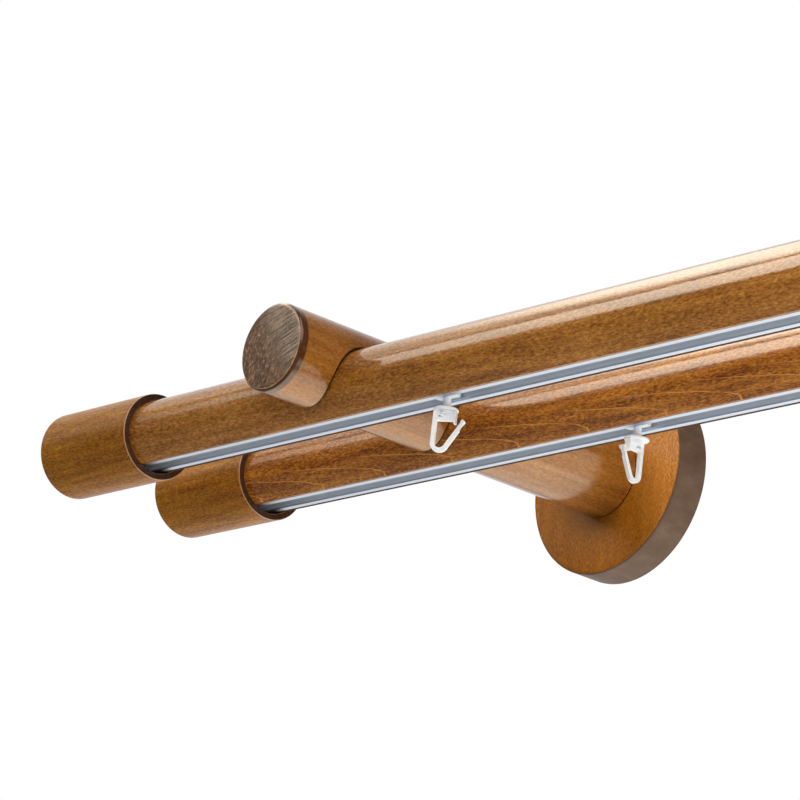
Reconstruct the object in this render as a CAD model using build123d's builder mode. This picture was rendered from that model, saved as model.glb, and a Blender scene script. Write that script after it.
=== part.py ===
from build123d import *
from math import cos, radians, sin
import os

os.makedirs("parts", exist_ok=True)

# The wall is the plane y = 0 and the room lies towards -y. The origin is on the wall,
# midway between the two brackets, at the height of their arms' axes.

# Round poles with a flat milled along the underside
pole_length = 1000.0
pole_radius = 14.0
front_reach = 152.5                     # front pole's axis to the wall
pole_spacing = 57.5                     # front axis to rear axis
rear_reach = front_reach - pole_spacing
pole_drop = 8.3                        # pole axes below the arm's axis
flat_drop = 12.4                        # flat below the pole's axis
pole_z = -pole_drop
flat_z = pole_z - flat_drop

# Aluminium track let into the flat
track_width = 10.6
track_height = 9.0
track_wall = 1.1
slot_width = 5.6
lip_round = 0.25
track_side_gap = 0.05
groove_width = track_width + 2 * track_side_gap
channel_width = track_width - 2 * track_wall
channel_height = track_height - 2 * track_wall

# End caps pushed over the pole ends
cap_radius = 16.8
cap_length = 54.0
cap_bore_depth = 28.0
cap_bore_gap = 0.2
cap_end_round = 2.0
cap_rim_ease = 0.5
rim_x = pole_length / 2 - cap_bore_depth

# Brackets: a round arm with two saddles, and a rosette against the wall
arm_inset = 104.3                       # cap rim to the arm's axis
arm_x = rim_x - arm_inset
arm_radius = 16.8
arm_overhang = 33.3                     # arm's front end ahead of the front pole's axis
arm_front = front_reach + arm_overhang
arm_edge_round = 1.5
saddle_gap = 0.1
saddle_ease = 0.35
rosette_radius = 39.5
rosette_thickness = 15.3
rosette_round = 1.2
rosette_back_ease = 0.5

# Wall fixing: a threaded insert in the arm takes an M8 stud through the rosette
stud_hole_radius = 4.2
insert_radius = 6.0
insert_length = 25.0
stud_hole_depth = 40.0
insert_slot_width = 1.6
insert_slot_depth = 2.0

# Countersunk screws from the top of the arm into the poles
screw_radius = 1.9
screw_head_radius = 3.9
screw_head_height = 2.3
screw_head_sink = 1.2                   # head below the arm's crown
screw_length = 25.0
screw_tip_length = 3.5
screw_hole_gap = 0.15
screw_pilot_gap = 0.02
recess_width = 1.1
recess_length = 4.4
recess_depth = 1.4

# Gliders: a keeled head in the channel and a stem down through the slot
front_glider_x = -306.0
rear_glider_x = -268.1
head_length = 10.6
head_keel = 2.9
keel_bottom = 0.95                      # above the flat
head_bottom = 1.4
head_width = 7.3
head_top = 4.6
head_end_width = 2.4
head_end_taper = 2.2
stem_radius = 1.45
stem_bottom = -3.05
pin_radius = 1.0
bulb_radius = 1.5
bulb_top = -4.3
bulb_bottom = -4.9

# Curtain hooks that swivel on the gliders' pins; heights are below the flat
swivel_gap = 0.05
front_hook_turn = 37.0
rear_hook_turn = 276.5
hook_offset = 0.53                      # plate ahead of the swivel axis
disc_radius = 4.5
disc_top = -3.35
disc_bottom = -4.15
disc_round = 0.3
neck_bottom = -4.05
boss_radius = 2.2
boss_bottom = -5.5
cavity_radius = 1.75
cavity_bottom = -5.15
hook_thickness = 1.45
bar_width = 1.6
bar_u = -3.48
loop_radius = 2.56
loop_z = -16.2
spring_angle = 59.4
spring_width = 1.5
spring_length = 7.5
tip_length = 3.9
tip_width = 1.05
tip_shift = -0.2
tip_bar_length = 1.3
tip_bar_width = 2.4
web_bottom = -7.95
window_left = -2.65
window_right = -0.05
window_top = -5.6
window_bottom = -6.55
wing_left = 3.35
wing_right = 4.15
wing_bottom = -8.85
wing_half_width = 1.25

pole_places = {"front": -front_reach, "rear": -rear_reach}
side_places = {"left": -1, "right": 1}


# Half section of a screw, head up, grown by a gap; its axis stands at x on the arm's crown
def screw_profile(x, gap):
    top = arm_radius - screw_head_sink
    tip = top - screw_length
    return [
        (x, top + gap),
        (x + screw_head_radius + gap, top + gap),
        (x + screw_head_radius + gap, top - 0.3),
        (x + screw_radius + gap, top - screw_head_height),
        (x + screw_radius + gap, tip + screw_tip_length),
        (x + 0.4 + gap, tip - gap),
        (x, tip - gap),
    ]


def make_pole(axis_y):
    with BuildPart() as pole:
        with BuildSketch(Plane.YZ.offset(-pole_length / 2)):
            with Locations((axis_y, pole_z)):
                Circle(pole_radius)
            with Locations((axis_y, flat_z - pole_radius)):
                Rectangle(4 * pole_radius, 2 * pole_radius, mode=Mode.SUBTRACT)
            with Locations((axis_y, flat_z + track_height / 2)):
                Rectangle(groove_width, track_height, mode=Mode.SUBTRACT)
        extrude(amount=pole_length)
        for side in side_places.values():
            x = side * arm_x
            with BuildSketch(Plane.XZ.offset(-axis_y)):
                with BuildLine():
                    Polyline(*screw_profile(x, screw_pilot_gap), close=True)
                make_face()
            revolve(axis=Axis((x, axis_y, 0), (0, 0, 1)), mode=Mode.SUBTRACT)
    return pole.part


def make_track(axis_y):
    with BuildPart() as track:
        with BuildSketch(Plane.YZ.offset(-pole_length / 2)) as section:
            with Locations((axis_y, flat_z + track_height / 2)):
                Rectangle(track_width, track_height)
            with Locations((axis_y, flat_z + track_wall + channel_height / 2)):
                Rectangle(channel_width, channel_height, mode=Mode.SUBTRACT)
            with Locations((axis_y, flat_z + track_wall / 2)):
                Rectangle(slot_width, track_wall, mode=Mode.SUBTRACT)
            fillet(section.vertices().group_by(Axis.Z)[0], lip_round)
        extrude(amount=pole_length)
    return track.part


def make_cap(axis_y, side):
    end_x = side * (rim_x + cap_length)
    with BuildPart() as cap:
        with BuildSketch(Plane.YZ.offset(side * rim_x)):
            with Locations((axis_y, pole_z)):
                Circle(cap_radius)
        extrude(amount=side * cap_length)
        with BuildSketch(Plane.YZ.offset(side * rim_x)):
            with Locations((axis_y, pole_z)):
                Circle(pole_radius + cap_bore_gap)
        extrude(amount=side * cap_bore_depth, mode=Mode.SUBTRACT)
        rings = cap.edges().filter_by(GeomType.CIRCLE)
        fillet(rings.filter_by_position(Axis.X, end_x - 0.1, end_x + 0.1), cap_end_round)
        rings = cap.edges().filter_by(GeomType.CIRCLE)
        fillet(rings.filter_by_position(Axis.X, side * rim_x - 0.1, side * rim_x + 0.1), cap_rim_ease)
    return cap.part


def make_arm(side):
    x = side * arm_x
    with BuildPart() as arm:
        with BuildSketch(Plane.XZ.offset(rosette_thickness)):
            with Locations((x, 0)):
                Circle(arm_radius)
        extrude(amount=arm_front - rosette_thickness)
        fillet(arm.edges().filter_by(GeomType.CIRCLE).sort_by(Axis.Y)[0], arm_edge_round)
        for axis_y in pole_places.values():
            with BuildSketch(Plane.YZ.offset(x - 2 * arm_radius)):
                with Locations((axis_y, pole_z)):
                    Circle(pole_radius + saddle_gap)
            extrude(amount=4 * arm_radius, mode=Mode.SUBTRACT)
            chamfer(arm.edges(Select.LAST), saddle_ease)
        with BuildSketch(Plane.XZ.offset(rosette_thickness)):
            with Locations((x, 0)):
                Circle(insert_radius)
        extrude(amount=insert_length, mode=Mode.SUBTRACT)
        with BuildSketch(Plane.XZ.offset(rosette_thickness)):
            with Locations((x, 0)):
                Circle(stud_hole_radius)
        extrude(amount=stud_hole_depth, mode=Mode.SUBTRACT)
        for axis_y in pole_places.values():
            with BuildSketch(Plane.XZ.offset(-axis_y)):
                with BuildLine():
                    Polyline(*screw_profile(x, screw_hole_gap), close=True)
                make_face()
            revolve(axis=Axis((x, axis_y, 0), (0, 0, 1)), mode=Mode.SUBTRACT)
            with BuildSketch(Plane.XY.offset(arm_radius - screw_head_sink)):
                with Locations((x, axis_y)):
                    Circle(screw_head_radius + screw_hole_gap)
            extrude(amount=2 * screw_head_sink, mode=Mode.SUBTRACT)
    return arm.part


def make_rosette(side):
    with BuildPart() as rosette:
        with BuildSketch(Plane.XZ):
            with Locations((side * arm_x, 0)):
                Circle(rosette_radius)
        extrude(amount=rosette_thickness)
        fillet(rosette.edges().filter_by(GeomType.CIRCLE).sort_by(Axis.Y)[0], rosette_round)
        chamfer(rosette.edges().filter_by(GeomType.CIRCLE).sort_by(Axis.Y)[-1], rosette_back_ease)
        with BuildSketch(Plane.XZ):
            with Locations((side * arm_x, 0)):
                Circle(stud_hole_radius)
        extrude(amount=rosette_thickness, mode=Mode.SUBTRACT)
    return rosette.part


def make_insert(side):
    with BuildPart() as insert:
        with BuildSketch(Plane.XZ.offset(rosette_thickness)):
            with Locations((side * arm_x, 0)):
                Circle(insert_radius)
                Circle(stud_hole_radius, mode=Mode.SUBTRACT)
        extrude(amount=insert_length)
        with BuildSketch(Plane.XZ.offset(rosette_thickness)):
            with Locations((side * arm_x, 0)):
                Rectangle(insert_slot_width, 4 * insert_radius)
        extrude(amount=insert_slot_depth, mode=Mode.SUBTRACT)
    return insert.part


def make_screw(axis_y, side):
    x = side * arm_x
    with BuildPart() as screw:
        with BuildSketch(Plane.XZ.offset(-axis_y)):
            with BuildLine():
                Polyline(*screw_profile(x, 0), close=True)
            make_face()
        revolve(axis=Axis((x, axis_y, 0), (0, 0, 1)))
        with BuildSketch(Plane.XY.offset(arm_radius - screw_head_sink)):
            with Locations((x, axis_y)):
                Rectangle(recess_length, recess_width)
                Rectangle(recess_width, recess_length)
        extrude(amount=-recess_depth, mode=Mode.SUBTRACT)
    return screw.part


def make_glider(x, axis_y):
    wide = head_width / 2
    end = head_length / 2
    with BuildPart() as glider:
        with BuildSketch(Plane.XY.offset(flat_z + head_bottom)):
            with BuildLine():
                Polyline(
                    (x - end, axis_y - head_end_width / 2),
                    (x - end + head_end_taper, axis_y - wide),
                    (x + end - head_end_taper, axis_y - wide),
                    (x + end, axis_y - head_end_width / 2),
                    (x + end, axis_y + head_end_width / 2),
                    (x + end - head_end_taper, axis_y + wide),
                    (x - end + head_end_taper, axis_y + wide),
                    (x - end, axis_y + head_end_width / 2),
                    close=True,
                )
            make_face()
        extrude(amount=head_top - head_bottom)
        with BuildSketch(Plane.XY.offset(flat_z + keel_bottom)):
            with Locations((x, axis_y)):
                SlotOverall(head_length, head_keel)
        extrude(amount=head_bottom - keel_bottom)
        with BuildSketch(Plane.XY.offset(flat_z + stem_bottom)):
            with Locations((x, axis_y)):
                Circle(stem_radius)
        extrude(amount=head_bottom - stem_bottom)
        with BuildSketch(Plane.XY.offset(flat_z + bulb_bottom)):
            with Locations((x, axis_y)):
                Circle(pin_radius)
        extrude(amount=stem_bottom - bulb_bottom)
        with BuildSketch(Plane.XY.offset(flat_z + bulb_bottom)):
            with Locations((x, axis_y)):
                Circle(bulb_radius)
        extrude(amount=bulb_top - bulb_bottom)
    return glider.part


# The plate stands in the plane of along and z, moved sideways off the swivel axis
def make_hook(x, axis_y, turn):
    along = (cos(radians(turn)), sin(radians(turn)), 0)
    across = (sin(radians(turn)), -cos(radians(turn)), 0)
    place = (x + hook_offset * across[0], axis_y + hook_offset * across[1], flat_z)
    upright = Plane(origin=place, x_dir=along, z_dir=across)
    run = cos(radians(spring_angle))
    climb = sin(radians(spring_angle))
    loop_u = bar_u + loop_radius
    start = (loop_u + loop_radius * climb, loop_z - loop_radius * run)
    step = (start[0] + spring_length * run, start[1] + spring_length * climb)
    tip_start = (step[0] + tip_shift * climb, step[1] - tip_shift * run)
    tip_end = (tip_start[0] + tip_length * run, tip_start[1] + tip_length * climb)
    bar_start = (tip_end[0] - tip_bar_length * run, tip_end[1] - tip_bar_length * climb)
    with BuildPart() as hook:
        with BuildSketch(Plane.XY.offset(flat_z + disc_bottom)):
            with Locations((x, axis_y)):
                Circle(disc_radius)
        extrude(amount=disc_top - disc_bottom)
        fillet(hook.edges().filter_by(GeomType.CIRCLE), disc_round)
        with BuildSketch(Plane.XY.offset(flat_z + boss_bottom)):
            with Locations((x, axis_y)):
                Circle(boss_radius)
        extrude(amount=disc_bottom - boss_bottom)
        with BuildSketch(upright):
            with BuildLine():
                Line((bar_u, disc_bottom), (bar_u, loop_z))
                CenterArc((loop_u, loop_z), loop_radius, 180, 90 + spring_angle)
            trace(line_width=bar_width)
            with BuildLine():
                Line(start, step)
            trace(line_width=spring_width)
            with BuildLine():
                Line((tip_start[0] - 0.5 * run, tip_start[1] - 0.5 * climb), tip_end)
            trace(line_width=tip_width)
            with Locations(((bar_u + wing_left) / 2, (disc_bottom + web_bottom) / 2)):
                Rectangle(wing_left - bar_u + 0.4, disc_bottom - web_bottom)
            with Locations(((window_left + window_right) / 2, (window_top + window_bottom) / 2)):
                Rectangle(window_right - window_left, window_top - window_bottom, mode=Mode.SUBTRACT)
        extrude(amount=hook_thickness / 2, both=True)
        with BuildSketch(upright):
            with Locations(((wing_left + wing_right) / 2, (disc_bottom + wing_bottom) / 2)):
                Rectangle(wing_right - wing_left, disc_bottom - wing_bottom)
        extrude(amount=wing_half_width, both=True)
        with BuildSketch(upright):
            with BuildLine():
                Line(bar_start, tip_end)
            trace(line_width=tip_width)
        extrude(amount=tip_bar_width / 2, both=True)
        with BuildSketch(Plane.XY.offset(flat_z + neck_bottom)):
            with Locations((x, axis_y)):
                Circle(pin_radius + swivel_gap)
        extrude(amount=disc_top - neck_bottom, mode=Mode.SUBTRACT)
        with BuildSketch(Plane.XY.offset(flat_z + cavity_bottom)):
            with Locations((x, axis_y)):
                Circle(cavity_radius)
        extrude(amount=neck_bottom - cavity_bottom, mode=Mode.SUBTRACT)
    return hook.part


def save(part, label):
    part.label = label
    export_step(part, f"parts/{label}.step")


for place, reach in pole_places.items():
    save(make_pole(reach), f"pole_{place}")
    save(make_track(reach), f"track_{place}")
    for hand, side in side_places.items():
        save(make_cap(reach, side), f"end_cap_{place}_{hand}")
        save(make_screw(reach, side), f"pole_screw_{place}_{hand}")

for hand, side in side_places.items():
    save(make_arm(side), f"bracket_arm_{hand}")
    save(make_rosette(side), f"wall_rosette_{hand}")
    save(make_insert(side), f"threaded_insert_{hand}")

save(make_glider(front_glider_x, -front_reach), "glider_front")
save(make_hook(front_glider_x, -front_reach, front_hook_turn), "curtain_hook_front")
save(make_glider(rear_glider_x, -rear_reach), "glider_rear")
save(make_hook(rear_glider_x, -rear_reach, rear_hook_turn), "curtain_hook_rear")
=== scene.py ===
import math
import bpy
from mathutils import Matrix, Vector

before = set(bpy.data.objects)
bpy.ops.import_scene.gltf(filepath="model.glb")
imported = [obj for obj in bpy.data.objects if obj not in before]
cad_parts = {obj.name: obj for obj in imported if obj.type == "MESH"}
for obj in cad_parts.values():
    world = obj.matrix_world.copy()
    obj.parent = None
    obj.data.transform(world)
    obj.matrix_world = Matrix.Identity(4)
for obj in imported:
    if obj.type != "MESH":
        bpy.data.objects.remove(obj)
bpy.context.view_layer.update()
scene = bpy.context.scene
print("frame loaded:", len(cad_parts), "nodes")

# Places on the part in millimetres, from the wall plane midway between the arms
hands = {"left": -1, "right": 1}
poleReach = {"front": 152.5, "rear": 95.0}  # wall to the poles' axes
poleDrop = 8.3  # poles' axes below the arms' axes
flatHeight = -20.7  # underside of the poles, where the tracks lie
capRim = 472.0  # middle to the inner rims of the caps
armPlace = 367.7  # middle to the arms' axes
armEnd = 185.8  # wall to the arms' sawn ends
rosetteFace = 15.3  # wall to the rosettes' faces


def toLinear(hexColour):
    parts = [int(hexColour[i:i + 2], 16) / 255 for i in (1, 3, 5)]
    line = [p / 12.92 if p <= 0.04045 else ((p + 0.055) / 1.055) ** 2.4 for p in parts]
    return (*line, 1.0)


def firstOutput(node):
    return next(socket for socket in node.outputs if socket.enabled)


# Settings go by the name or number of a socket, or by property; a link gives a node or one of its sockets
def addNode(tree, kind, settings, links=None):
    node = tree.nodes.new("ShaderNode" + kind)
    for name, value in settings.items():
        if name == "stops":
            ramp = node.color_ramp.elements
            for number, (place, hexColour) in enumerate(value):
                stop = ramp[number] if number < 2 else ramp.new(place)
                stop.position = place
                stop.color = toLinear(hexColour)
        elif isinstance(name, int) or name in node.inputs:
            node.inputs[name].default_value = value
        else:
            setattr(node, name, value)
    for name, source in (links or {}).items():
        socket = firstOutput(source) if isinstance(source, bpy.types.Node) else source
        tree.links.new(socket, node.inputs[name])
    return node


def newMaterial(name, settings):
    material = bpy.data.materials.new(name)
    material.use_nodes = True
    tree = material.node_tree
    shader = tree.nodes["Principled BSDF"]
    for socket, value in settings.items():
        shader.inputs[socket].default_value = value
    where = addNode(tree, "TexCoord", {}).outputs["Object"]
    millimetres = addNode(tree, "Mapping", {"Scale": (1000.0, 1000.0, 1000.0)}, {"Vector": where})
    return material, tree, shader, millimetres


# Layers of noise added up to one tone round 0.5; long and wide are the size of a mark in millimetres
def layNoise(tree, millimetres, layers, grain, shift=(0.0, 0.0, 0.0), turn=(0.0, 0.0, 0.0)):
    moved = addNode(tree, "Mapping", {"Location": shift, "Rotation": turn}, {"Vector": millimetres})
    start = 0.5 - sum(layer["amount"] for layer in layers) / 2
    tone = None
    for layer in layers:
        size = [layer["wide"]] * 3
        size["xyz".index(grain)] = layer["long"]
        drawn = addNode(tree, "Mapping", {"Scale": [1 / s for s in size]}, {"Vector": moved})
        detail = {"Scale": 1.0, "Detail": layer["detail"], "Roughness": layer.get("rough", 0.55)}
        noise = addNode(tree, "TexNoise", detail, {"Vector": drawn})
        added = {"operation": "MULTIPLY_ADD", 1: layer["amount"]}
        if tone is None:
            tone = addNode(tree, "Math", {**added, 2: start}, {0: noise})
        else:
            tone = addNode(tree, "Math", added, {0: noise, 2: tone})
    return tone, noise


# 1 in a zone and 0 outside it, where all its limits hold: each is a place along a direction,
# or a distance from a centre counted only across the axes that are 1 in "flat", in millimetres.
# A zone's span or radius goes from where it begins to where it is full.
def maskZone(tree, millimetres, limits):
    mask = None
    for limit in limits:
        if "centre" in limit:
            centred = {"operation": "SUBTRACT", 1: limit["centre"]}
            away = addNode(tree, "VectorMath", centred, {0: millimetres})
            flattened = addNode(tree, "VectorMath", {"operation": "MULTIPLY", 1: limit["flat"]}, {0: away})
            measure = addNode(tree, "VectorMath", {"operation": "LENGTH"}, {0: flattened})
        else:
            projected = {"operation": "DOT_PRODUCT", 1: limit["along"]}
            measure = addNode(tree, "VectorMath", projected, {0: millimetres})
        level = measure.outputs["Value"]
        edge = {"From Min": limit["outside"], "From Max": limit["inside"]}
        held = addNode(tree, "MapRange", {"interpolation_type": "SMOOTHSTEP", **edge}, {"Value": level})
        if mask is None:
            mask = held
        else:
            mask = addNode(tree, "Math", {"operation": "MULTIPLY"}, {0: held, 1: mask})
    return mask


# Thin pale lines where the growth rings leave a turned pole at a slant, each with a hook at its end.
# The rings lie round a pith far above the pole and sink along it; "turn" brings the hooks to the front.
# Divided by how steeply the surface cuts the rings, a line has the same width all along.
def addRingLines(tree, millimetres, lines, colour):
    centred = addNode(tree, "Mapping", {"Location": lines["shift"]}, {"Vector": millimetres})
    around = {"rotation_type": "X_AXIS", "Angle": lines["turn"]}
    turned = addNode(tree, "VectorRotate", around, {"Vector": centred})
    split = addNode(tree, "SeparateXYZ", {}, {"Vector": turned}).outputs
    sinking = {"operation": "MULTIPLY_ADD", 1: -lines["slope"], 2: lines["pith"]}
    sunk = addNode(tree, "Math", sinking, {0: split["X"]})
    height = addNode(tree, "Math", {"operation": "SUBTRACT"}, {0: sunk, 1: split["Z"]})
    across = addNode(tree, "CombineXYZ", {}, {"X": split["Y"], "Y": height})
    radius = addNode(tree, "VectorMath", {"operation": "LENGTH"}, {0: across}).outputs["Value"]
    waver = addNode(tree, "TexNoise", {"Scale": lines["waverScale"], "Detail": 2.0}, {"Vector": centred})
    bent = addNode(tree, "Math", {"operation": "MULTIPLY_ADD", 1: lines["waver"]}, {0: waver, 2: radius})
    fold = addNode(tree, "Math", {"operation": "PINGPONG", 1: lines["ring"] / 2}, {0: bent})
    lean = addNode(tree, "Math", {"operation": "MULTIPLY", 1: 1 / lines["pith"]}, {0: split["Y"]})
    steep = addNode(tree, "CombineXYZ", {"X": lines["slope"]}, {"Y": lean})
    rise = addNode(tree, "VectorMath", {"operation": "LENGTH"}, {0: steep}).outputs["Value"]
    apart = addNode(tree, "Math", {"operation": "DIVIDE"}, {0: fold, 1: rise})
    edge = {"interpolation_type": "SMOOTHSTEP", "From Min": lines["width"], "From Max": 0.0}
    thin = addNode(tree, "MapRange", edge, {"Value": apart})
    fading = {"From Min": lines["fade"][0], "From Max": lines["fade"][1], "To Max": lines["amount"]}
    low = addNode(tree, "MapRange", fading, {"Value": split["Z"]})
    broken = addNode(tree, "TexNoise", {"Scale": lines["patchScale"], "Detail": 2.0}, {"Vector": centred})
    patchy = addNode(tree, "MapRange", lines["patches"], {"Value": broken})
    strong = addNode(tree, "Math", {"operation": "MULTIPLY"}, {0: thin, 1: low})
    shown = addNode(tree, "Math", {"operation": "MULTIPLY"}, {0: strong, 1: patchy})
    return addNode(tree, "Mix", {"data_type": "RGBA", 7: toLinear(lines["colour"])}, {0: shown, 6: colour})


toneSpan = {"From Min": 0.3, "From Max": 0.7}  # where most tones of a noise lie
roughSpread = 0.06  # how far the fibres of a wood change its roughness either way
fibreDepth = 0.0001  # metres


# Stained close-grained hardwood under clear lacquer: fine fibres, vague darker streaks, a smooth gloss
def makeWood(name, settings):
    material, tree, shader, millimetres = newMaterial(name, {
        "IOR": 1.5, "Specular IOR Level": 0.1,
        "Coat Weight": settings["coat"], "Coat Roughness": settings["coatRoughness"], "Coat IOR": 1.5,
    })
    tone, fibre = layNoise(tree, millimetres, settings["layers"], settings["grain"], settings["shift"])
    colour = addNode(tree, "ValToRGB", {"stops": settings["stops"]}, {"Fac": tone})
    if "lines" in settings:
        colour = addRingLines(tree, millimetres, settings["lines"], colour)
    spread = {"To Min": settings["rough"] + roughSpread, "To Max": settings["rough"] - roughSpread}
    rough = addNode(tree, "MapRange", {**toneSpan, **spread}, {"Value": fibre})
    coat = None
    for zone in settings["zones"]:
        mask = maskZone(tree, millimetres, zone["limits"])
        turn = zone.get("turn", (0.0, 0.0, 0.0))
        ends, _ = layNoise(tree, millimetres, zone["layers"], zone["grain"], turn=turn)
        shade = addNode(tree, "ValToRGB", {"stops": zone["stops"]}, {"Fac": ends})
        colour = addNode(tree, "Mix", {"data_type": "RGBA"}, {0: mask, 6: colour, 7: shade})
        rough = addNode(tree, "Mix", {"data_type": "FLOAT", 3: zone["rough"]}, {0: mask, 2: rough})
        before = {} if coat is None else {2: coat}
        values = {"data_type": "FLOAT", 2: settings["coat"], 3: zone["coat"]}
        coat = addNode(tree, "Mix", values, {0: mask, **before})
    bump = addNode(tree, "Bump", {"Strength": settings["bump"], "Distance": fibreDepth}, {"Height": fibre})
    tree.links.new(firstOutput(colour), shader.inputs["Base Color"])
    tree.links.new(firstOutput(rough), shader.inputs["Roughness"])
    tree.links.new(firstOutput(coat), shader.inputs["Coat Weight"])
    tree.links.new(firstOutput(bump), shader.inputs["Normal"])
    tree.links.new(firstOutput(bump), shader.inputs["Coat Normal"])
    return material


def dress(node, material):
    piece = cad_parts[node]
    piece.data.materials.clear()
    piece.data.materials.append(material)


# Poles: the fibres are near 0.4 mm wide, drawn twice as coarse to show
poleWood = {
    "grain": "x", "coat": 1.0, "coatRoughness": 0.09, "rough": 0.5, "bump": 0.18,
    "stops": [(0.0, "#532c0d"), (1.0, "#cd9a5b"), (0.3, "#7b4b19"), (0.5, "#976224"), (0.72, "#b07837")],
    "layers": [
        {"long": 120.0, "wide": 16.0, "detail": 2.0, "amount": 0.5},
        {"long": 40.0, "wide": 3.2, "detail": 3.0, "amount": 0.8},
        {"long": 2.0, "wide": 0.6, "detail": 2.0, "amount": 1.45, "rough": 0.65},
    ],
}
# The rear pole is redder, and only there the rings come to the surface
ringLines = {
    "shift": (0.0, poleReach["rear"], poleDrop), "turn": math.radians(33.0),
    "slope": 0.045, "pith": 59.4, "ring": 1.66,  # the rings' fall, their middle's height and their spacing
    "width": 0.9, "fade": (-10.3, -12.3),  # a line's width, and the heights between which it appears
    "waver": 0.3, "waverScale": 0.07,
    "patches": {"From Min": 0.35, "From Max": 0.5, "To Min": 0.35}, "patchScale": 0.09,
    "amount": 0.95, "colour": "#d99b48",
}
rearStops = [(0.0, "#4c2508"), (1.0, "#dc994c"), (0.3, "#774214"), (0.5, "#9a5f20"), (0.72, "#b87a30")]
# The wood beside the track is bare, and its colour is painted shade, darkest on the side of the wall
grooveShadeZone = {
    "span": (-11.0, 5.0), "grain": "x", "rough": 0.6, "coat": 0.1,
    "layers": [{"long": 6.0, "wide": 1.0, "detail": 2.0, "amount": 0.8}],
    "stops": [(0.0, "#1f1209"), (1.0, "#54361c"), (0.5, "#382112")],
}
poles = {
    "front": {**poleWood, "shift": (0.0, poleReach["front"], poleDrop)},
    "rear": {
        **poleWood, "shift": (412.0, poleReach["rear"], poleDrop),
        "stops": rearStops, "lines": ringLines,
    },
}
for place, settings in poles.items():
    start, end = grooveShadeZone["span"]
    reach = poleReach[place]
    under = {"along": (0.0, 0.0, 1.0), "outside": flatHeight + 0.15, "inside": flatHeight + 0.05}
    behind = {"along": (0.0, 1.0, 0.0), "outside": start - reach, "inside": end - reach}
    settings["zones"] = [{**grooveShadeZone, "limits": [under, behind]}]
    dress(f"pole_{place}", makeWood(f"lacquered_beech_{place}_pole", settings))

# Caps: turned from the same wood, duller, with a painted highlight on the edge round a dark stained rim
capWood = {
    "grain": "x", "coat": 0.35, "coatRoughness": 0.25, "rough": 0.5, "bump": 0.2,
    "stops": [(0.0, "#573009"), (1.0, "#c9903c"), (0.3, "#794912"), (0.5, "#94601b"), (0.72, "#ab7426")],
    "layers": [
        {"long": 60.0, "wide": 14.0, "detail": 2.0, "amount": 0.5},
        {"long": 30.0, "wide": 2.6, "detail": 3.0, "amount": 0.7},
        {"long": 1.8, "wide": 0.6, "detail": 2.0, "amount": 1.2, "rough": 0.65},
    ],
}
# Painted highlight along the rounded edge beside the rim
capEdgeHighlightZone = {
    "grain": "y", "rough": 0.4, "coat": 0.8,
    "layers": [{"long": 1.5, "wide": 1.5, "detail": 2.0, "amount": 0.8}],
    "stops": [(0.0, "#7d5a40"), (1.0, "#c9a78b"), (0.5, "#ae8869")],
}
capRimZone = {
    "grain": "y", "rough": 0.42, "coat": 0.3,
    "layers": [{"long": 1.2, "wide": 1.2, "detail": 3.0, "amount": 1.0}],
    "stops": [(0.0, "#24130d"), (1.0, "#5b3f31"), (0.5, "#3b241b")],
}
for place, reach in poleReach.items():
    for hand, sign in hands.items():
        outward = (sign, 0.0, 0.0)
        edge = {"along": outward, "outside": capRim + 0.55, "inside": capRim + 0.4}
        rim = {"along": outward, "outside": capRim + 0.15, "inside": capRim + 0.05}
        zones = [{**capEdgeHighlightZone, "limits": [edge]}, {**capRimZone, "limits": [rim]}]
        settings = {**capWood, "shift": (3.7 * reach, reach, 25.0 * sign), "zones": zones}
        dress(f"end_cap_{place}_{hand}", makeWood(f"lacquered_beech_cap_{place}_{hand}", settings))

# Arms: the same wood with a calmer grain
armWood = {
    "grain": "y", "coat": 1.0, "coatRoughness": 0.15, "rough": 0.5, "bump": 0.15,
    "stops": [(0.0, "#56300c"), (1.0, "#c18c4c"), (0.3, "#774819"), (0.5, "#905b23"), (0.72, "#a46f2f")],
    "layers": [
        {"long": 70.0, "wide": 14.0, "detail": 2.0, "amount": 0.5},
        {"long": 26.0, "wide": 2.4, "detail": 3.0, "amount": 0.5},
        {"long": 1.8, "wide": 0.6, "detail": 2.0, "amount": 0.95, "rough": 0.65},
    ],
}
# Where an arm meets a pole or its rosette the wood is dark: bare sawn wood in the saddles, and painted
# shade along the gaps where the parts meet
saddleBareAndShadeZone = {
    "radius": (15.0, 14.7), "grain": "y", "rough": 0.6, "coat": 0.1,
    "layers": [{"long": 3.0, "wide": 1.0, "detail": 2.0, "amount": 0.8}],
    "stops": [(0.0, "#140b05"), (1.0, "#3f2714"), (0.5, "#26160b")],
}
# Dark stained ring on the rounded edge of the sawn end, then a thin painted highlight where it meets the
# face
bevelZone = {
    "limits": [{"along": (0.0, -1.0, 0.0), "outside": armEnd - 3.6, "inside": armEnd - 3.3}],
    "grain": "y", "rough": 0.3, "coat": 1.0,
    "layers": [{"long": 1.5, "wide": 1.5, "detail": 2.0, "amount": 0.8}],
    "stops": [(0.0, "#2a1409"), (1.0, "#6b4021"), (0.5, "#4a2812")],
}
# Painted highlight: a thin pale line on the edge where the sawn face begins
edgeHighlightZone = {
    "limits": [{"along": (0.0, -1.0, 0.0), "outside": armEnd - 0.3, "inside": armEnd - 0.18}],
    "grain": "y", "rough": 0.35, "coat": 0.7,
    "layers": [{"long": 3.0, "wide": 3.0, "detail": 2.0, "amount": 1.0}],
    "stops": [(0.0, "#6b4d33"), (1.0, "#d9c2aa"), (0.5, "#a98b70")],
}
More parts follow.
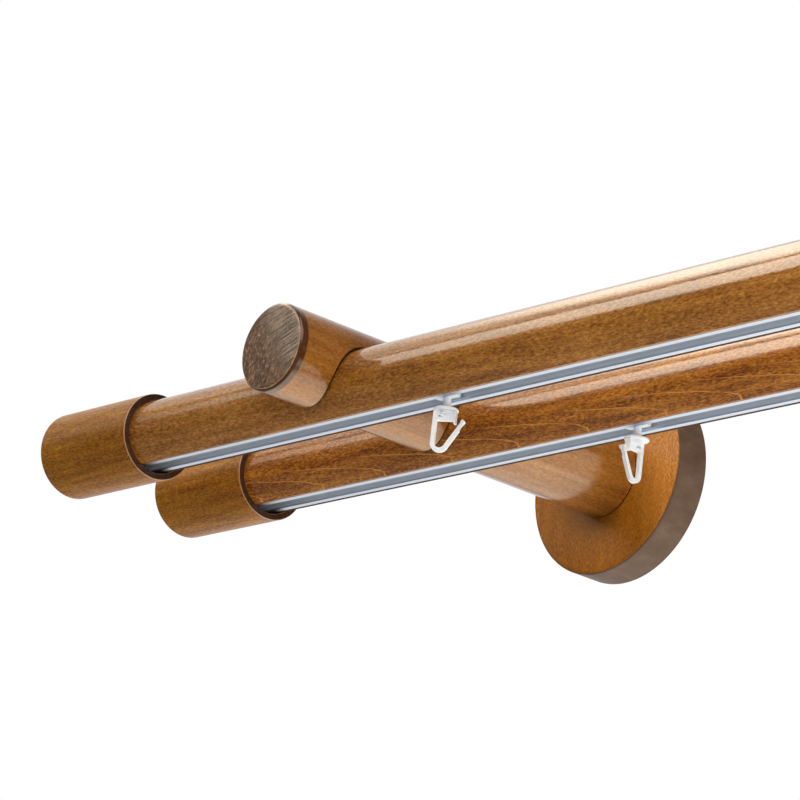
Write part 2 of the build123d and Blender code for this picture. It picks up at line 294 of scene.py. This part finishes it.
# The sawn end soaks up more stain and keeps the marks of the saw
faceLimit = {"along": (0.0, -1.0, 0.0), "outside": armEnd - 0.1, "inside": armEnd - 0.04}
faceZone = {
    "limits": [faceLimit],
    "grain": "z", "rough": 0.5, "coat": 0.5, "turn": (0.0, -0.35, 0.0),
    "layers": [
        {"long": 9.0, "wide": 6.0, "detail": 2.0, "amount": 0.4},
        {"long": 1.7, "wide": 0.8, "detail": 3.0, "amount": 2.0, "rough": 0.7},
    ],
    "stops": [(0.0, "#26160c"), (1.0, "#b79a84"), (0.35, "#4b3424"), (0.55, "#694d39"), (0.75, "#8b6c58")],
}
sawZone = {
    "along": (0.8, 0.0, 0.6), "axis": 294.2, "span": (-5.0, 10.0),
    "grain": "x", "rough": 0.5, "coat": 0.5, "turn": (0.0, 0.3, 0.0),
    "layers": [
        {"long": 12.0, "wide": 0.75, "detail": 2.0, "amount": 1.5, "rough": 0.6},
        {"long": 1.3, "wide": 0.9, "detail": 3.0, "amount": 0.8, "rough": 0.7},
    ],
    "stops": [(0.0, "#211b17"), (1.0, "#c3b1a3"), (0.35, "#574941"), (0.55, "#806e63"), (0.75, "#9d897c")],
}
# Rosettes: turned across the grain and duller; painted light makes each face paler on its side towards +X
# and up
rosetteWood = {
    "grain": "z", "coat": 0.2, "coatRoughness": 0.25, "rough": 0.5, "bump": 0.15,
    "stops": [(0.0, "#60370a"), (1.0, "#ce913e"), (0.3, "#824c10"), (0.5, "#995f18"), (0.72, "#ae7125")],
    "layers": [
        {"long": 50.0, "wide": 20.0, "detail": 2.0, "amount": 0.25},
        {"long": 14.0, "wide": 3.0, "detail": 3.0, "amount": 0.3},
        {"long": 1.3, "wide": 0.8, "detail": 2.0, "amount": 1.1, "rough": 0.65},
    ],
}
# Painted light: a paler copy of the rosette wood on the side of the face where the light falls
paintedLightZone = {
    "along": (0.9, 0.0, 0.43), "axis": 331.0, "span": (6.0, 32.0),
    "grain": "z", "rough": 0.5, "coat": 0.3, "layers": rosetteWood["layers"],
    "stops": [(0.0, "#7f4a16"), (1.0, "#f0b26e"), (0.3, "#a16726"), (0.5, "#c07e34"), (0.72, "#d59446")],
}
# Painted shade in the corner under an arm
underArmShadeZone = {
    "along": (-0.5, 0.0, -0.87), "axis": -183.9, "span": (2.0, 18.0), "radius": (30.0, 14.0),
    "grain": "z", "rough": 0.5, "coat": 0.2, "layers": rosetteWood["layers"],
    "stops": [(0.0, "#402307"), (1.0, "#956426"), (0.3, "#57340c"), (0.5, "#6b4212"), (0.72, "#7c511a")],
}
rosetteRimZone = {
    "radius": (38.9, 39.3), "grain": "y", "rough": 0.5, "coat": 0.15,
    "layers": [{"long": 9.0, "wide": 5.0, "detail": 4.0, "amount": 0.8}],
    "stops": [(0.0, "#423027"), (1.0, "#7c6557"), (0.5, "#5c483d")],
}


# The limit of a zone that begins past an arm's axis; "axis" is where that lies along the zone's direction
def pastAxis(zone, sign):
    axis = sign * zone["axis"]
    start, end = zone["span"]
    return {"along": zone["along"], "outside": axis + start, "inside": axis + end}


# The limit of a zone round a centre
def withinRadius(zone, centre, flat):
    outside, inside = zone["radius"]
    return {"centre": centre, "flat": flat, "outside": outside, "inside": inside}


for hand, sign in hands.items():
    saddles = []
    for reach in poleReach.values():
        hollow = withinRadius(saddleBareAndShadeZone, (0.0, -reach, -poleDrop), (0.0, 1.0, 1.0))
        saddles.append({**saddleBareAndShadeZone, "limits": [hollow]})
    # Painted shade in the gap where the arm's end meets the rosette
    seam = {"along": (0.0, 1.0, 0.0), "outside": -rosetteFace - 0.6, "inside": -rosetteFace - 0.35}
    seamShade = {**saddleBareAndShadeZone, "limits": [seam]}
    saw = {**sawZone, "limits": [faceLimit, pastAxis(sawZone, sign)]}
    zones = [*saddles, seamShade, bevelZone, edgeHighlightZone, faceZone, saw]
    settings = {**armWood, "shift": (90.0 * sign, 395.0, 14.0), "zones": zones}
    dress(f"bracket_arm_{hand}", makeWood(f"lacquered_beech_arm_{hand}", settings))

    middle, flat = (sign * armPlace, 0.0, 0.0), (1.0, 0.0, 1.0)
    # Painted light on the face's side towards +X and up
    pale = {**paintedLightZone, "limits": [pastAxis(paintedLightZone, sign)]}
    # Painted shade in the corner under the arm
    near = withinRadius(underArmShadeZone, middle, flat)
    front = {"along": (0.0, -1.0, 0.0), "outside": rosetteFace - 1.3, "inside": rosetteFace - 0.1}
    underArmShade = {**underArmShadeZone, "limits": [near, pastAxis(underArmShadeZone, sign), front]}
    rim = {**rosetteRimZone, "limits": [withinRadius(rosetteRimZone, middle, flat)]}
    settings = {**rosetteWood, "shift": (40.0, 380.0 * sign, 60.0), "zones": [pale, underArmShade, rim]}
    dress(f"wall_rosette_{hand}", makeWood(f"lacquered_beech_rosette_{hand}", settings))


# Tracks of extruded aluminium, natural anodised: pale satin metal with faint lines along the draw.
# Inside, where a track would mirror only its own dark channel, it is less metallic and painted paler as
# painted light.
trackMetal = {
    "layers": [{"long": 400.0, "wide": 1.1, "detail": 1.0, "amount": 0.8}],
    "lipStops": [(0.25, "#c0cbe2"), (0.75, "#ccd7ec")],
    "innerStops": [(0.25, "#c8d2e2"), (0.75, "#ecf1f9")],
    "inner": {"along": (0.0, 0.0, 1.0), "outside": flatHeight + 0.3, "inside": flatHeight + 0.9},
    "metallic": {"To Min": 1.0, "To Max": 0.4},
    "rough": {"To Min": 0.34, "To Max": 0.4},
}


def makeAluminium(settings):
    material, tree, shader, millimetres = newMaterial("anodised_aluminium", {})
    drawn, _ = layNoise(tree, millimetres, settings["layers"], "x")
    lips = addNode(tree, "ValToRGB", {"stops": settings["lipStops"]}, {"Fac": drawn})
    inner = addNode(tree, "ValToRGB", {"stops": settings["innerStops"]}, {"Fac": drawn})
    inside = maskZone(tree, millimetres, [settings["inner"]])
    colour = addNode(tree, "Mix", {"data_type": "RGBA"}, {0: inside, 6: lips, 7: inner})
    metallic = addNode(tree, "MapRange", settings["metallic"], {"Value": inside})
    rough = addNode(tree, "MapRange", {**toneSpan, **settings["rough"]}, {"Value": drawn})
    tree.links.new(firstOutput(colour), shader.inputs["Base Color"])
    tree.links.new(firstOutput(metallic), shader.inputs["Metallic"])
    tree.links.new(firstOutput(rough), shader.inputs["Roughness"])
    return material


# Gliders and hooks: moulded nylon, milky white, a soft gloss, light shining a little way in
glidersNylon = {
    "sockets": {
        "IOR": 1.53, "Subsurface Weight": 0.15,
        "Subsurface Radius": (0.002, 0.002, 0.002), "Subsurface Scale": 0.5,
    },
    "layers": [{"long": 3.0, "wide": 2.0, "detail": 3.0, "amount": 1.0}],
    "stops": [(0.25, "#e2eafb"), (0.75, "#ecf2ff")],
    "rough": {"To Min": 0.3, "To Max": 0.42},
}
# Screws and inserts: zinc-plated steel, cool grey metal with a cloudy bloom
screwSteel = {
    "sockets": {"Metallic": 1.0},
    "layers": [{"long": 1.5, "wide": 1.5, "detail": 4.0, "amount": 1.0}],
    "stops": [(0.25, "#aeb1b4"), (0.75, "#d3d4d2")],
    "rough": {"To Min": 0.24, "To Max": 0.42},
}


# One cloudy tone over the whole piece, in its colour and its gloss
def makeCloudy(name, settings):
    material, tree, shader, millimetres = newMaterial(name, settings["sockets"])
    cloud, _ = layNoise(tree, millimetres, settings["layers"], "z")
    colour = addNode(tree, "ValToRGB", {"stops": settings["stops"]}, {"Fac": cloud})
    rough = addNode(tree, "MapRange", {**toneSpan, **settings["rough"]}, {"Value": cloud})
    tree.links.new(firstOutput(colour), shader.inputs["Base Color"])
    tree.links.new(firstOutput(rough), shader.inputs["Roughness"])
    return material


aluminium = makeAluminium(trackMetal)
nylon = makeCloudy("moulded_white_nylon", glidersNylon)
steel = makeCloudy("zinc_plated_steel", screwSteel)
for place in poleReach:
    dress(f"track_{place}", aluminium)
    dress(f"glider_{place}", nylon)
    dress(f"curtain_hook_{place}", nylon)
    for hand in hands:
        dress(f"pole_screw_{place}_{hand}", steel)
for hand in hands:
    dress(f"threaded_insert_{hand}", steel)
print("materials set")

# Floor, far below as under a curtain pole, and low enough for views from underneath
studioFloor = {"size": 30.0, "height": -4.5, "colour": "#e2e0dd", "rough": 0.7}
bpy.ops.mesh.primitive_plane_add(size=studioFloor["size"], location=(0.0, 0.0, studioFloor["height"]))
floor = bpy.context.object
floor.name = "studio_floor"
floorSockets = {"Base Color": toLinear(studioFloor["colour"]), "Roughness": studioFloor["rough"]}
floor.data.materials.append(newMaterial("pale_floor", floorSockets)[0])

# Softboxes: each stands off from a target towards a direction, faces it, and is then slid along the poles.
# A fade makes it brighter from one end to the other: u runs along it, v across it, from 0 to 1.
softboxes = {
    "long_softbox_low": {
        "target": (0.0, -0.15, 0.0), "towards": (0.0, -0.788, 0.6157), "distance": 2.4, "slide": -2.05,
        "size": (2.9, 1.513), "radiance": 7.6,
        "fades": [
            {"u": 1.0, "v": 0.0, "from": (0.02, 0.43), "to": (0.0, 1.0)},
            {"u": 1.0, "v": 0.0, "from": (0.5, 0.62), "to": (1.0, 0.2)},
            {"u": 1.2, "v": 1.0, "from": (0.4, 0.58), "to": (0.05, 1.0)},
        ],
    },
    "long_softbox_high": {
        "target": (0.0, -0.15, 0.0), "towards": (0.0, 0.0026, 1.0), "distance": 2.4, "slide": -2.05,
        "size": (2.9, 2.755), "radiance": 4.0,
        "fades": [
            {"u": 1.0, "v": 0.165, "from": (0.31, 0.44), "to": (0.15, 1.0)},
            {"u": 0.0, "v": 1.0, "from": (0.0, 1.0), "to": (2.2, 0.3)},
            {"u": 1.0, "v": 0.0, "from": (0.5, 0.62), "to": (1.0, 0.2)},
        ],
    },
    "under_panel": {
        "target": (-0.37, -0.1, 0.0), "towards": (0.0, 0.605, -0.796), "distance": 1.5, "slide": -0.525,
        "size": (2.95, 1.6), "radiance": 2.7,
        "fades": [
            {"u": 1.0, "v": 0.0, "from": (0.0, 0.9), "to": (0.24, 1.0)},
            {"u": 1.0, "v": 0.0, "from": (1.0, 0.88), "to": (0.0, 1.0)},
        ],
    },
    "side_card": {
        "target": (-0.35, -0.04, 0.0), "towards": (0.66, 0.7, -0.27), "distance": 0.45, "slide": 0.0,
        "size": (0.3, 0.5), "radiance": 1.8, "fades": [],
    },
    "front_fill": {
        "target": (-0.05, -0.1, 0.0), "towards": (0.65, -0.55, -0.6), "distance": 0.6, "slide": 0.0,
        "size": (0.7, 0.7), "radiance": 2.75, "fades": [], "gloss": False,
    },
    "top_fill": {
        "target": (-0.3, -0.1, 0.0), "towards": (0.6, -0.5, 0.62), "distance": 1.3, "slide": 0.0,
        "size": (1.2, 1.2), "radiance": 2.9, "fades": [],
    },
}
lampColour = "#fff6e2"


def addSoftbox(name, settings):
    light = bpy.data.lights.new(name, "AREA")
    light.shape = "RECTANGLE"
    light.size, light.size_y = settings["size"]
    light.energy = settings["radiance"] * math.pi * light.size * light.size_y
    light.color = toLinear(lampColour)[:3]
    if settings["fades"]:
        light.use_nodes = True
        tree = light.node_tree
        place = addNode(tree, "NewGeometry", {}).outputs["Parametric"]
        strength = None
        for fade in settings["fades"]:
            course = {"operation": "DOT_PRODUCT", 1: (fade["u"], fade["v"], 0.0)}
            run = addNode(tree, "VectorMath", course, {0: place}).outputs["Value"]
            (start, end), (first, last) = fade["from"], fade["to"]
            limits = {"From Min": start, "From Max": end, "To Min": first, "To Max": last}
            level = addNode(tree, "MapRange", limits, {"Value": run})
            if strength is None:
                strength = level
            else:
                strength = addNode(tree, "Math", {"operation": "MULTIPLY"}, {0: level, 1: strength})
        tree.links.new(firstOutput(strength), tree.nodes["Emission"].inputs["Strength"])
    box = bpy.data.objects.new(name, light)
    scene.collection.objects.link(box)
    away = Vector(settings["towards"]).normalized()
    place = Vector(settings["target"]) + away * settings["distance"] + Vector((settings["slide"], 0.0, 0.0))
    across = Vector((1.0, 0.0, 0.0)) - away * away.x
    across.normalize()
    turn = Matrix((across, away.cross(across), away)).transposed()
    box.matrix_world = Matrix.Translation(place) @ turn.to_4x4()
    box.visible_camera = False
    box.visible_glossy = settings.get("gloss", True)


for name, settings in softboxes.items():
    addSoftbox(name, settings)

# White surroundings: bright behind the part and to its left, dim on the side of the room
surroundings = {
    "colour": "#f8fafc", "room": 0.08,
    "leftward": {"From Min": 0.15, "From Max": -0.65, "To Min": 0.12, "To Max": 1.0},
    "behind": {"From Min": 0.0, "From Max": 0.4},
}
world = bpy.data.worlds.new("studio_white")
scene.world = world
world.use_nodes = True
tree = world.node_tree
tree.nodes.clear()
path = addNode(tree, "LightPath", {}).outputs["Is Camera Ray"]
direction = addNode(tree, "TexCoord", {}).outputs["Generated"]
turned = addNode(tree, "SeparateXYZ", {}, {"Vector": direction}).outputs
leftward = addNode(tree, "MapRange", surroundings["leftward"], {"Value": turned["X"]})
behind = addNode(tree, "MapRange", surroundings["behind"], {"Value": turned["Y"]})
glow = addNode(tree, "Mix", {"data_type": "FLOAT", 2: surroundings["room"]}, {0: behind, 3: leftward})
seen = addNode(tree, "Background", {"Color": (1.0, 1.0, 1.0, 1.0), "Strength": 1.0})
around = addNode(tree, "Background", {"Color": toLinear(surroundings["colour"])}, {"Strength": glow})
both = addNode(tree, "MixShader", {}, {0: path, 1: around, 2: seen})
addNode(tree, "OutputWorld", {}, {"Surface": both})
scene.view_settings.view_transform = "Standard"
print("light set")

# Camera, from below right as in the photograph: place in metres, angles in degrees
view = {
    "place": (0.75094, -1.06105, -0.46718), "azimuth": 50.0, "elevation": -17.69, "roll": 6.76,
    "sensor": 36.0, "lens": 186.52, "farEnd": 50.0,
}
cameraData = bpy.data.cameras.new("camera")
cameraData.sensor_width = view["sensor"]
cameraData.lens = view["lens"]
cameraData.clip_end = view["farEnd"]
camera = bpy.data.objects.new("camera", cameraData)
scene.collection.objects.link(camera)
azimuth, elevation, roll = (math.radians(view[angle]) for angle in ("azimuth", "elevation", "roll"))
level = Vector((math.cos(azimuth), math.sin(azimuth), 0.0))
flatShare = math.cos(elevation)
forward = Vector((-math.sin(azimuth) * flatShare, math.cos(azimuth) * flatShare, -math.sin(elevation)))
above = level.cross(forward)
right = math.cos(roll) * level + math.sin(roll) * above
up = -math.sin(roll) * level + math.cos(roll) * above
turn = Matrix((right, up, -forward)).transposed()
camera.matrix_world = Matrix.Translation(view["place"]) @ turn.to_4x4()
scene.camera = camera
print("camera set")
